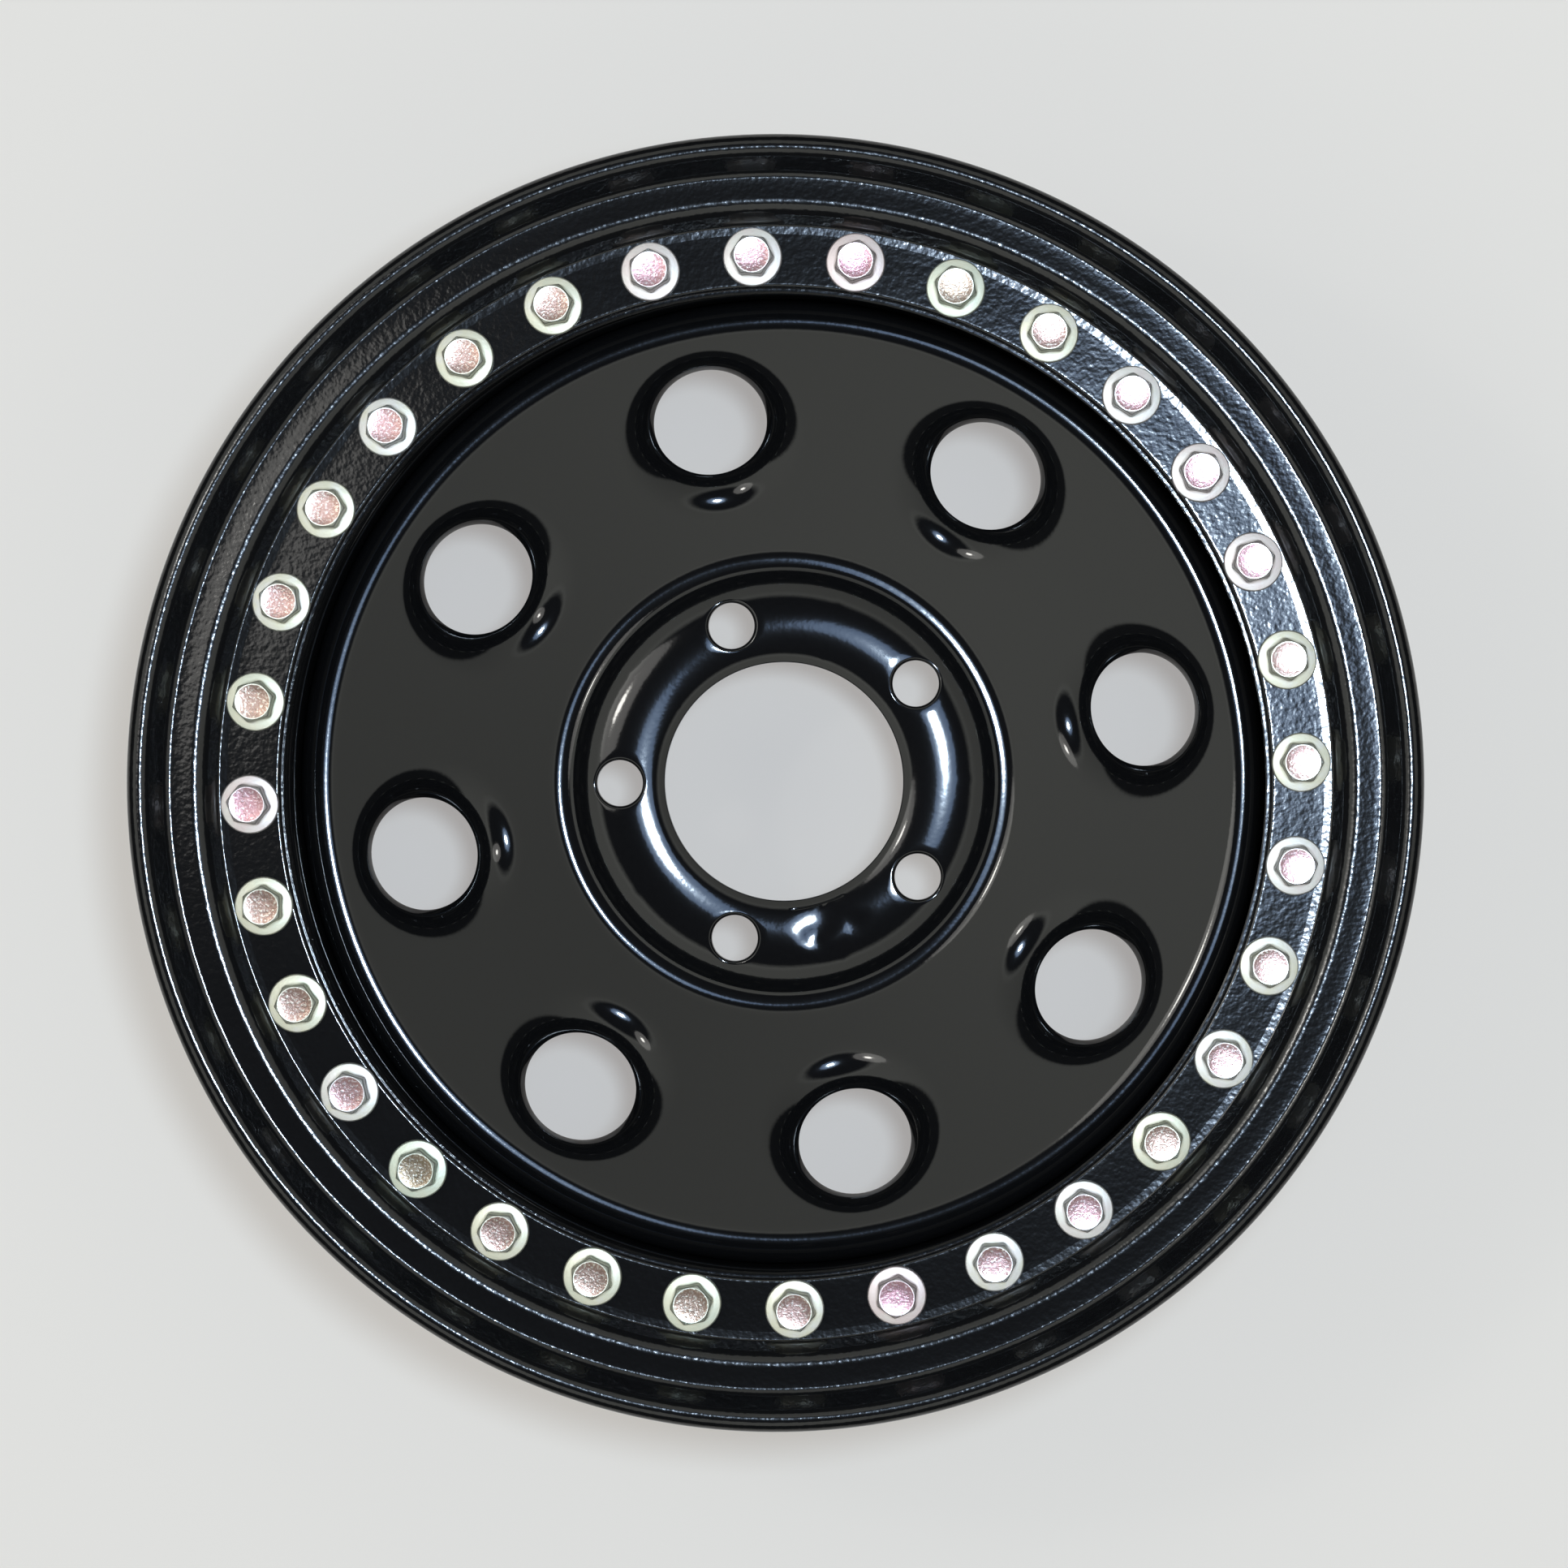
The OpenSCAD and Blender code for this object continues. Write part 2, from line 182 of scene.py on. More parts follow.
class Section:
    """A path of lines and arcs in the (radius, height) plane, in millimetres.

    A heading of 0 runs outwards and 90 runs up.
    """

    def __init__(self, radius, height, heading=0.0):
        self.points = [(radius, height)]
        self.heading = heading

    @property
    def end(self):
        return self.points[-1]

    def ahead(self, distance):
        r, z = self.end
        h = math.radians(self.heading)
        if distance > 1e-6:
            self.points.append((r + distance * math.cos(h), z + distance * math.sin(h)))
        return self

    def line(self, radius, height):
        self.points.append((radius, height))
        return self

    def arc(self, heading, radius, step=5.0):
        side = 1 if heading > self.heading else -1
        h0 = math.radians(self.heading)
        r, z = self.end
        cr = r - side * radius * math.sin(h0)
        cz = z + side * radius * math.cos(h0)
        count = max(1, math.ceil(abs(heading - self.heading) / step))
        for i in range(1, count + 1):
            h = math.radians(self.heading + (heading - self.heading) * i / count)
            self.points.append((cr + side * radius * math.sin(h), cz - side * radius * math.cos(h)))
        self.heading = heading
        return self


def offset_path(points, distance):
    """The path moved sideways: positive is to the left of its heading."""
    out = []
    for i, (r, z) in enumerate(points):
        back = points[i - 1] if i else points[0]
        front = points[i + 1] if i + 1 < len(points) else points[-1]
        a = Vector((r - back[0], z - back[1]))
        b = Vector((front[0] - r, front[1] - z))
        a = a.normalized() if a.length > 0 else b.normalized()
        b = b.normalized() if b.length > 0 else a
        mid = (a + b).normalized()
        reach = distance / max(0.3, mid.dot(a))
        out.append((r - mid.y * reach, z + mid.x * reach))
    return out


def round_corner(points, index, radius, count=4):
    """Replaces one corner of a closed section by a small arc."""
    p = Vector(points[index])
    a = Vector(points[index - 1]) - p
    b = Vector(points[(index + 1) % len(points)]) - p
    half = a.angle(b) / 2
    run = min(radius / math.tan(half), a.length * 0.49, b.length * 0.49)
    radius = run * math.tan(half)
    start, end = p + a.normalized() * run, p + b.normalized() * run
    centre = p + (a.normalized() + b.normalized()).normalized() * radius / math.sin(half)
    sweep = (start - centre).angle_signed(end - centre)
    arc = []
    for i in range(count + 1):
        t = -sweep * i / count
        d = start - centre
        arc.append(
            (
                centre.x + d.x * math.cos(t) - d.y * math.sin(t),
                centre.y + d.x * math.sin(t) + d.y * math.cos(t),
            )
        )
    return points[:index] + arc + points[index + 1 :]


def spin_section(name, points, steps=240):
    """Draws a closed section by extruding one point, and spins it round the wheel axis."""
    deselect()
    r, z = points[0]
    bpy.ops.mesh.primitive_plane_add(size=MM, location=(r * MM, 0, z * MM))
    obj = bpy.context.object
    obj.name = obj.data.name = name
    bpy.ops.object.mode_set(mode="EDIT")
    bpy.ops.mesh.merge(type="CENTER")
    for (r0, z0), (r1, z1) in zip(points, points[1:] + points[:1]):
        bpy.ops.mesh.extrude_region_move(
            TRANSFORM_OT_translate={"value": ((r1 - r0) * MM, 0, (z1 - z0) * MM)}
        )
    bpy.ops.mesh.select_all(action="SELECT")
    bpy.ops.mesh.remove_doubles(threshold=2e-6)
    bpy.ops.mesh.spin(steps=steps, angle=TURN, center=(0, 0, 0), axis=(0, 0, 1))
    bpy.ops.object.mode_set(mode="OBJECT")
    seat_in_mesh(obj)
    merge_and_turn_out(obj)
    return obj


def dress(obj, material, slot, *nodes):
    """Gives a piece its finish and its body, and hides the frame nodes that it stands for."""
    obj.data.materials.clear()
    obj.data.materials.append(material)
    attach(obj, "root")
    if nodes:
        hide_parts(*nodes)


# ---------------------------------------------------------------- finishes


class Value:
    """One output of a shader node, with the usual sums as Math nodes."""

    def __init__(self, finish, socket):
        self.finish = finish
        self.socket = socket

    def _sum(self, operation, a, b=None):
        sockets = {0: a} if b is None else {0: a, 1: b}
        return self.finish.node("ShaderNodeMath", {"operation": operation}, sockets)

    def __add__(self, other):
        return self._sum("ADD", self, other)

    def __radd__(self, other):
        return self._sum("ADD", other, self)

    def __sub__(self, other):
        return self._sum("SUBTRACT", self, other)

    def __rsub__(self, other):
        return self._sum("SUBTRACT", other, self)

    def __mul__(self, other):
        return self._sum("MULTIPLY", self, other)

    def __rmul__(self, other):
        return self._sum("MULTIPLY", other, self)

    def __truediv__(self, other):
        return self._sum("DIVIDE", self, other)

    def __rtruediv__(self, other):
        return self._sum("DIVIDE", other, self)

    def __gt__(self, other):
        return self._sum("GREATER_THAN", self, other)

    def __lt__(self, other):
        return self._sum("LESS_THAN", self, other)


class Finish:
    """A material and its node tree."""

    def __init__(self, name):
        self.material = bpy.data.materials.new(name)
        self.material.use_nodes = True
        self.tree = self.material.node_tree
        self.tree.nodes.clear()
        self.place = self.node("ShaderNodeTexCoord", {}, {}, "Object")

    def node(self, kind, settings=None, sockets=None, output=0):
        made = self.tree.nodes.new(kind)
        for key, value in (settings or {}).items():
            if key == "stops":
                stops = made.color_ramp.elements
                while len(stops) < len(value):
                    stops.new(0.5)
                for stop, (position, colour) in zip(stops, value):
                    stop.position = position
                    stop.color = (*colour, 1.0) if len(colour) == 3 else colour
            else:
                setattr(made, key, value)
        for key, value in (sockets or {}).items():
            if isinstance(key, int):
                target = made.inputs[key]
            else:
                target = [s for s in made.inputs if s.name == key and s.enabled][0]
            if isinstance(value, Value):
                self.tree.links.new(value.socket, target)
            elif target.type == "RGBA" and len(value) == 3:
                target.default_value = (*value, 1.0)
            else:
                target.default_value = value
        if not made.outputs:
            return None
        if isinstance(output, int):
            return Value(self, made.outputs[output])
        return Value(self, [s for s in made.outputs if s.name == output and s.enabled][0])

    def noise(self, size, detail=2.0, rough=0.5, distortion=0.0):
        """Noise whose grains are about this size in metres."""
        return self.node(
            "ShaderNodeTexNoise",
            {"noise_dimensions": "3D"},
            {
                "Vector": self.place,
                "Scale": 1.0 / size,
                "Detail": detail,
                "Roughness": rough,
                "Distortion": distortion,
            },
            "Fac",
        )

    def split(self):
        """The x, y and z of the place on the object."""
        names = ("X", "Y", "Z")
        made = self.tree.nodes.new("ShaderNodeSeparateXYZ")
        self.tree.links.new(self.place.socket, made.inputs[0])
        return [Value(self, made.outputs[n]) for n in names]

    def math(self, operation, *values):
        return self.node("ShaderNodeMath", {"operation": operation}, dict(enumerate(values)))

    def radius(self):
        x, y, _ = self.split()
        return self.math("SQRT", x * x + y * y)

    def rise(self, value, low, high):
        """0 below low and 1 above high, smooth between."""
        return self.node(
            "ShaderNodeMapRange",
            {"interpolation_type": "SMOOTHSTEP"},
            {"Value": value, "From Min": low, "From Max": high},
            0,
        )

    def mix(self, factor, a, b):
        return self.node(
            "ShaderNodeMix", {"data_type": "RGBA"}, {"Factor": factor, "A": a, "B": b}, "Result"
        )

    def bump(self, height, depth, normal=None):
        sockets = {"Height": height, "Distance": depth, "Strength": 1.0}
        if normal is not None:
            sockets["Normal"] = normal
        return self.node("ShaderNodeBump", {}, sockets, "Normal")

    def done(self, **sockets):
        names = {key.replace("_", " ").title().replace("Ior", "IOR"): v for key, v in sockets.items()}
        shader = self.node("ShaderNodeBsdfPrincipled", {}, names, "BSDF")
        self.node("ShaderNodeOutputMaterial", {}, {"Surface": shader})
        return self.material


def gloss_black(colour):
    """Gloss black powder coat: glassy on the disc, orange peel on the ring."""
    f = Finish("gloss_black")
    r = f.radius()
    z = f.split()[2]
    on_ring = f.rise(r, 0.159, 0.1615) * f.rise(z, 0.09, 0.10)
    peel = f.noise(0.0021, 1.5, 0.45)
    fine = f.noise(0.0011, 1.0, 0.4)
    wave = f.noise(0.022, 1.0, 0.4)
    height = peel * (0.12 + 0.88 * on_ring) + fine * (0.05 + 0.25 * on_ring) + wave * 0.5
    turned_up = f.math("MINIMUM", f.math("MAXIMUM", r, 0.1784), 0.181) - 0.1784
    height = height + turned_up * on_ring * 800.0
    dust = f.noise(0.0016, 3.0, 0.6)
    return f.done(
        base_color=f.mix(dust, colour, [c * 1.6 for c in colour]),
        roughness=0.055 + 0.03 * f.noise(0.03, 2.0, 0.5) + 0.05 * on_ring,
        normal=f.bump(height, 0.00006),
        ior=1.5,
    )


def painted_weld(colour):
    """The same coat over the ripples of a weld."""
    f = Finish("painted_weld")
    x, y, z = f.split()
    turn = f.math("ARCTAN2", y, x)
    ripple = f.math("SINE", turn * 620.0 + z * 900.0)
    height = ripple * 0.5 + f.noise(0.004, 2.0, 0.5)
    return f.done(
        base_color=f.mix(f.noise(0.002, 3.0, 0.6), colour, [c * 1.8 for c in colour]),
        roughness=0.10 + 0.06 * f.noise(0.01, 2.0, 0.5),
        normal=f.bump(height, 0.0004),
        ior=1.5,
    )


def zinc_chromate(zinc, yellow, pink, green):
    """Zinc plate under an uneven yellow, pink and green film."""
    f = Finish("zinc_chromate")
    tone = f.node("ShaderNodeAttribute", {"attribute_name": "film_tone"}, {}, "Fac")
    head = f.node("ShaderNodeAttribute", {"attribute_name": "head_top"}, {}, "Fac")
    grain = f.noise(0.00085, 3.0, 0.65)
    patch = f.noise(0.0045, 2.0, 0.5)
    film = f.node(
        "ShaderNodeValToRGB",
        {"stops": [(0.15, green), (0.40, yellow), (0.56, zinc), (0.82, pink)]},
        {"Fac": tone * 0.62 + patch * 0.42},
        "Color",
    )
    dark = f.node(
        "ShaderNodeValToRGB",
        {
            "stops": [
                (0.10, (0.20, 0.18, 0.10)),
                (0.35, (0.33, 0.22, 0.18)),
                (0.65, (0.40, 0.23, 0.24)),
                (0.92, (0.46, 0.24, 0.28)),
            ]
        },
        {"Fac": tone * 0.6 + grain * 0.45},
        "Color",
    )
    speck = f.rise(grain, 0.49, 0.70)
    top = f.mix(speck * 0.75, dark, film)
    height = grain * (0.25 + 0.45 * head) + f.noise(0.0025, 2.0, 0.5) * 0.4
    return f.done(
        base_color=f.mix(head, film, top),
        metallic=1.0,
        roughness=0.43 - 0.19 * head + 0.08 * patch,
        normal=f.bump(height, 0.00012),
    )


def plain_floor(colour, paper):
    """A pale floor that keeps the object's shadow and shows the paper's plain colour through it."""
    f = Finish("pale_floor")
    path = f.tree.nodes.new("ShaderNodeLightPath")
    rays = [Value(f, path.outputs[k]) for k in ("Is Camera Ray", "Is Glossy Ray", "Is Transmission Ray")]
    cloud = f.noise(0.5, 2.0, 0.5)
    lit = f.node(
        "ShaderNodeBsdfPrincipled",
        {},
        {"Base Color": f.mix(cloud, colour, [c * 0.97 for c in colour]), "Roughness": 0.85},
        "BSDF",
    )
    shown = f.node("ShaderNodeEmission", {}, {"Color": paper, "Strength": 1.0}, "Emission")
    share = f.math("MINIMUM", rays[0] + rays[1] + rays[2], 1.0) * 0.40
    both = f.node("ShaderNodeMixShader", {}, {0: share, 1: lit, 2: shown}, "Shader")
    f.node("ShaderNodeOutputMaterial", {}, {"Surface": both})
    return f.material


FINISHES = {}


def finish(name):
    """The named finish, made once."""
    if name not in FINISHES:
        c = bpy.context.scene.wheel_finish
        if name == "gloss_black":
            FINISHES[name] = gloss_black(list(c.black))
        elif name == "painted_weld":
            FINISHES[name] = painted_weld(list(c.black))
        elif name == "zinc_chromate":
            FINISHES[name] = zinc_chromate(
                list(c.zinc), list(c.chromate_yellow), list(c.chromate_pink), list(c.chromate_green)
            )
        else:
            FINISHES[name] = plain_floor(list(c.floor), list(c.paper))
    return FINISHES[name]


# ---------------------------------------------------------------- sections


def clamp_ring_section(sizes):
    """Closed section of the clamp ring, with the fat edge of the coat at its bore."""
    band = sizes.band_height / MM
    sheet = sizes.ring_sheet / MM
    rim = sizes.ring_radius / MM
    top = Section(160.8, band - 1.5, 90).arc(0, 1.5, 10).line(162.8, band).line(163.8, band)
    top.line(168.0, band).line(174.0, band).line(180.7, band)
    top.arc(50, 1.2, 6)
    top.ahead((184.0 - top.end[0]) / math.cos(math.radians(50)))
    top.arc(-1.5, 7.0, 3).arc(1.0, 140.0, 1.0).arc(52.5, 3.6, 5)
    lip_in, lip_out = 4.45, 4.05
    wall = math.radians(52.5)
    run = (rim - lip_out - lip_in * math.sin(wall) - top.end[0]) / math.cos(wall)
    top.ahead(run).arc(0, lip_in, 5).arc(-90, lip_out, 5).ahead(5.0)
    under = [(160.8, band - sheet)]
    front = [(180.7, band)]
    start = next(i for i, p in enumerate(top.points) if abs(p[0] - 180.7) < 1e-6)
    back = offset_path(top.points[start:], -sheet)
    under += [(168.0, band - sheet), (174.0, band - sheet)] + back
    points = top.points + under[::-1]
    lip = len(top.points)
    points = round_corner(points, lip, 0.8)
    points = round_corner(points, lip - 1, 0.8)
    return round_corner(points, len(points) - 1, 0.5)


def barrel_section(sizes):
    """Closed section of the rim barrel."""
    t = sizes.barrel_sheet / MM
    outer = Section(207.4, -101.6, 90)
    outer.ahead(5.8).arc(180, 9.0, 6)
    outer.ahead(outer.end[0] - 190.1 - 6.5).arc(95, 6.5, 6).ahead(18.0)
    outer.arc(72, 8.0, 6).arc(128, 10.0, 6)
    drop = outer.end[0] - 169.0 - 12.0 * (1 - math.cos(math.radians(38)))
    outer.ahead(drop / math.sin(math.radians(38))).arc(90, 12.0, 6)
    outer.line(169.0, 10.0).line(169.0, 46.0)
    outer.arc(40, 8.0, 6)
    rise = 184.1 - 169.0 - 2 * 8.0 * (1 - math.cos(math.radians(50)))
    outer.ahead(rise / math.sin(math.radians(50))).arc(90, 8.0, 6).line(184.1, 100.0)
    inner = offset_path(outer.points, t)
    points = outer.points + inner[::-1]
    nose = len(outer.points)
    points = round_corner(points, nose, 0.8)
    points = round_corner(points, nose - 1, 0.8)
    points = round_corner(points, len(points) - 1, 0.6)
    return round_corner(points, 0, 0.6)


# ---------------------------------------------------------------- the disc

# Hub pad, groove and crest of the disc's front face
BORE_CURVE = 18.0
BORE_CURVE_R = 46.0
DOME_TOP_R = 55.0
DOME_CURVE = 67.0
DOME_EDGE_SLOPE = 6.0
EDGE_CURVE = 30.0
GROOVE_SLOPE = 27.0
GROOVE_CURVE = 8.0
PAD_R = 68.5
CONE_FOOT_CURVE = 12.7
CREST_R = 158.0
CREST_IN = 14.6
CREST_OUT = 7.0
CONE_SLOPE = 24.96
WELL_INNER_R = 165.0
DISC_FOOT_Z = 11.0
LUG_PITCH = 57.15
LUG_AZ = 36.6
LUG_COUNT = 5
WINDOW_AZ = 11.4
# Small dents between two lug holes: x, y, depth and reach
KNOCKS = (
    (14.5, -51.5, 0.60, 13.0),
    (20.5, -52.5, -0.22, 6.0),
    (9.5, -54.5, 0.25, 5.5),
    (15.0, -56.0, -0.30, 5.0),
    (24.0, -49.0, 0.30, 7.0),
)


class DiscForm:
    """Heights of the pressed disc, in millimetres."""

    def __init__(self, sizes):
        self.sheet = sizes.disc_sheet / MM
        self.window_r = sizes.window_radius / MM
        self.pitch = sizes.window_pitch / MM
        edge, steep = math.radians(DOME_EDGE_SLOPE), math.radians(GROOVE_SLOPE)
        self.dome_end = DOME_TOP_R + DOME_CURVE * math.sin(edge)
        self.edge_r = self.dome_end - EDGE_CURVE * math.sin(edge)
        self.edge_end = self.edge_r + EDGE_CURVE * math.sin(steep)
        self.groove_r = self.edge_end + GROOVE_CURVE * math.sin(steep)
        edge_end_z = self.sheet + GROOVE_CURVE * (1 - math.cos(steep))
        self.dome_end_z = edge_end_z + EDGE_CURVE * (math.cos(edge) - math.cos(steep))
        self.dome_z = self.dome_end_z + DOME_CURVE * (1 - math.cos(edge))
        slope = math.degrees(math.asin((PAD_R - self.edge_r) / EDGE_CURVE))
        step = Section(PAD_R, self.dome(PAD_R), -slope).arc(-GROOVE_SLOPE, EDGE_CURVE, 2)
        step.arc(0, GROOVE_CURVE, 4).ahead(1.0).arc(CONE_SLOPE, CONE_FOOT_CURVE, 3)
        self.step = step.points
        self.cone_r0, self.cone_z0 = step.end
        end_r = CREST_R - CREST_IN * math.sin(math.radians(CONE_SLOPE))
        crest = Section(end_r, self.cone(end_r), CONE_SLOPE)
        crest.arc(0, CREST_IN, 3).arc(-90, CREST_OUT, 6)
        crest.line(WELL_INNER_R, 26.0).line(WELL_INNER_R, DISC_FOOT_Z)
        self.crest = crest.points

    def cone(self, r):
        return self.cone_z0 + (r - self.cone_r0) * math.tan(math.radians(CONE_SLOPE))

    def dome(self, r):
        if r >= self.edge_end:
            return self.sheet + GROOVE_CURVE - math.sqrt(GROOVE_CURVE**2 - (self.groove_r - r) ** 2)
        if r >= self.dome_end:
            fall = math.sqrt(EDGE_CURVE**2 - (r - self.edge_r) ** 2)
            return self.dome_end_z + fall - EDGE_CURVE * math.cos(math.radians(DOME_EDGE_SLOPE))
        if r >= BORE_CURVE_R:
            return self.dome_z - DOME_CURVE + math.sqrt(DOME_CURVE**2 - (r - DOME_TOP_R) ** 2)
        lean = math.asin((DOME_TOP_R - BORE_CURVE_R) / DOME_CURVE)
        middle = BORE_CURVE_R + BORE_CURVE * math.sin(lean)
        fall = math.sqrt(BORE_CURVE**2 - (middle - r) ** 2) - BORE_CURVE * math.cos(lean)
        return self.dome(BORE_CURVE_R) + fall

    def on_cone(self, u, v, depth):
        """A point under the cone by a window at azimuth 0, from places along the cone's own plane there."""
        t = math.radians(CONE_SLOPE)
        x = self.pitch + u * math.cos(t)
        z = self.cone(self.pitch) + u * math.sin(t)
        lift = 0.0
        for _ in range(4):
            gap = self.cone(math.hypot(x - lift * math.sin(t), v)) - (z + lift * math.cos(t))
            lift += gap * math.cos(t)
        lift -= depth
        return Vector((x - lift * math.sin(t), v, z + lift * math.cos(t)))

    def mouth(self, phi, share):
        """A point of a window's rolled mouth, from the cone at share 0 to the cut edge at share 1."""
        c = math.cos(phi)
        curve = 14.75 - 3.5 * c - 0.25 * math.cos(2 * phi)
        sink = 6.55 - 0.75 * c
        turn = math.acos(1 - sink / curve)
        out = curve * (math.sin(turn) - math.sin(turn * share))
        u = (self.window_r + out) * c
        v = (self.window_r + out) * math.sin(phi)
        return self.on_cone(u, v, curve * (1 - math.cos(turn * share)))

    def face(self, x, y):
        """Height of the cone between its windows."""
        return self.cone(math.hypot(x, y))

    def pad(self, x, y):
        """Height of the pad between its lug holes."""
        return self.dome(math.hypot(x, y))


def sector_outline(r_in, r_out, half_angle, arc_n, side_n, twist=0.0):
    """Points round a flat sector at azimuth 0, anticlockwise from the middle of its outer arc.

    The twist in degrees turns the outer arc, so that its points meet the next zone's.
    """
    a = math.radians(half_angle)
    pts = []
    for i in range(arc_n // 2):
        pts.append((r_out, a * i / (arc_n // 2)))
    for i in range(side_n):
        pts.append((r_out + (r_in - r_out) * i / side_n, a))
    for i in range(arc_n):
        pts.append((r_in, a - 2 * a * i / arc_n))
    for i in range(side_n):
        pts.append((r_in + (r_out - r_in) * i / side_n, -a))
    for i in range(arc_n // 2):
        pts.append((r_out, -a + a * i / (arc_n // 2)))
    pts = [(r, t + math.radians(twist) * (r - r_in) / (r_out - r_in)) for r, t in pts]
    return [(r * math.cos(t), r * math.sin(t)) for r, t in pts]


def press_sector(name, outline, centre, ring_point, face, inner_rings, cuts):
    """One sector of the disc: a ring round its hole, webs out to the outline and rings down the hole."""
    count = len(outline)
    angles = [math.atan2(y, x - centre) for x, y in outline]
    even = [TURN * i / count for i in range(count)]
    phis = []
    for a, e in zip(angles, even):
        a = a % TURN
        if a - e > math.pi:
            a -= TURN
        if e - a > math.pi:
            a += TURN
        phis.append(0.6 * a + 0.4 * e)
    deselect()
    bpy.ops.mesh.primitive_circle_add(vertices=count, radius=10 * MM, location=(0, 0, 0))
    obj = bpy.context.object
    obj.name = obj.data.name = name
    bpy.ops.object.mode_set(mode="EDIT")
    bm = bmesh.from_edit_mesh(obj.data)
    mark = bm.verts.layers.int.new("ring")
    order = sorted(bm.verts, key=lambda v: math.atan2(v.co.y, v.co.x) % TURN)
    if abs(math.atan2(order[-1].co.y, order[-1].co.x)) < 1e-4:
        order = order[-1:] + order[:-1]
    for v, phi in zip(order, phis):
        v.co = ring_point(0, phi) * MM
    for k, v in enumerate(order):
        v[mark] = k + 1
    bmesh.update_edit_mesh(obj.data)
    bpy.ops.mesh.select_all(action="SELECT")
    bpy.ops.mesh.extrude_edges_move()
    bm = bmesh.from_edit_mesh(obj.data)
    mark = bm.verts.layers.int["ring"]
    moved = {v for v in bm.verts if v.select}
    for v in moved:
        x, y = outline[v[mark] - 1]
        v.co = Vector((x, y, face(x, y))) * MM
    for e in bm.edges:
        e.select = len(moved.intersection(e.verts)) == 1
    bmesh.update_edit_mesh(obj.data)
    bpy.ops.mesh.subdivide_edgering(number_cuts=cuts, interpolation="LINEAR", smoothness=0)
    bm = bmesh.from_edit_mesh(obj.data)
    hub = Vector(ring_point(0, 0)) * MM
    ring = {tuple(round(c, 7) for c in (ring_point(0, phi) * MM)) for phi in phis}
    inner = []
    for v in bm.verts:
        if tuple(round(c, 7) for c in v.co) in ring:
            inner.append(v)
        else:
            v.co.z = face(v.co.x / MM, v.co.y / MM) * MM
    bmesh.update_edit_mesh(obj.data)
    bpy.ops.mesh.select_all(action="DESELECT")
    bm = bmesh.from_edit_mesh(obj.data)
    chosen = set(inner)
    for e in bm.edges:
        e.select = e.verts[0] in chosen and e.verts[1] in chosen
    for step in range(1, inner_rings + 1):
        bmesh.update_edit_mesh(obj.data)
        bpy.ops.mesh.extrude_edges_move()
        bm = bmesh.from_edit_mesh(obj.data)
        mark = bm.verts.layers.int["ring"]
        for v in bm.verts:
            if v.select:
                v.co = ring_point(step, phis[v[mark] - 1]) * MM
    bmesh.update_edit_mesh(obj.data)
    bpy.ops.object.mode_set(mode="OBJECT")
    return obj


def turn_sectors(obj, count, azimuth):
    """Copies a sector round the axis and turns the whole to its azimuth."""
    activate(obj)
    bpy.ops.object.mode_set(mode="EDIT")
    bpy.ops.mesh.select_all(action="SELECT")
    bpy.ops.mesh.spin(steps=count, dupli=True, angle=TURN, center=(0, 0, 0), axis=(0, 0, 1))
    bpy.ops.mesh.select_all(action="SELECT")
    bpy.ops.mesh.remove_doubles(threshold=2e-6)
    bpy.ops.object.mode_set(mode="OBJECT")
    obj.rotation_euler = (0, 0, azimuth)
    seat_in_mesh(obj)


def press_disc(sizes):
    """The whole disc: cone sectors, hub sectors, and the rings between and beyond."""
    form = DiscForm(sizes)
    ring_n = 240
    cone_r0 = form.cone_r0
    cone_r1 = form.crest[0][0]
    mouth_steps = 12

    def window_point(step, phi):
        return form.mouth(phi, step / mouth_steps)

    rims = (9.3, 9.0, 8.7, 8.45, 8.25, 8.1, 8.02)

    def lug_point(step, phi):
        rho = rims[step]
        x, y = LUG_PITCH + rho * math.cos(phi), rho * math.sin(phi)
        drop = 1.3 - math.sqrt(max(0.0, 1.3**2 - (9.3 - rho) ** 2))
        return Vector((x, y, form.dome(math.hypot(x, y)) - drop))

    arc_n = ring_n // sizes.windows
    outline = sector_outline(cone_r0, cone_r1, 180 / sizes.windows, arc_n, 20)
    cone = press_sector("cone", outline, form.pitch, window_point, form.face, mouth_steps, 10)
    turn_sectors(cone, sizes.windows, math.radians(WINDOW_AZ))
    arc_n = ring_n // LUG_COUNT
    pitch = 360 / ring_n
    twist = (WINDOW_AZ + 180 / sizes.windows - LUG_AZ - 180 / LUG_COUNT) % pitch
    twist = twist - pitch if twist > pitch / 2 else twist
    outline = sector_outline(44.6, PAD_R, 180 / LUG_COUNT, arc_n, 14, twist)
    pad = press_sector("pad", outline, LUG_PITCH, lug_point, form.pad, 6, 9)
    turn_sectors(pad, LUG_COUNT, math.radians(LUG_AZ))
    for x, y, depth, reach in KNOCKS:
        knock(pad, x, y, depth, reach)
    return form, cone, pad


def knock(obj, x, y, depth, reach):
    """Pushes the sheet in round one place, as a knock does."""
    activate(obj)
    bpy.ops.object.mode_set(mode="EDIT")
    bpy.ops.mesh.select_all(action="DESELECT")
    bm = bmesh.from_edit_mesh(obj.data)
    near = min(bm.verts, key=lambda v: (v.co.x / MM - x) ** 2 + (v.co.y / MM - y) ** 2)
    near.select_set(True)
    bmesh.update_edit_mesh(obj.data)
    bpy.ops.transform.translate(
        value=(0, 0, -depth * MM),
        use_proportional_edit=True,
        proportional_edit_falloff="SMOOTH",
        proportional_size=reach * MM,
    )
    bpy.ops.object.mode_set(mode="OBJECT")


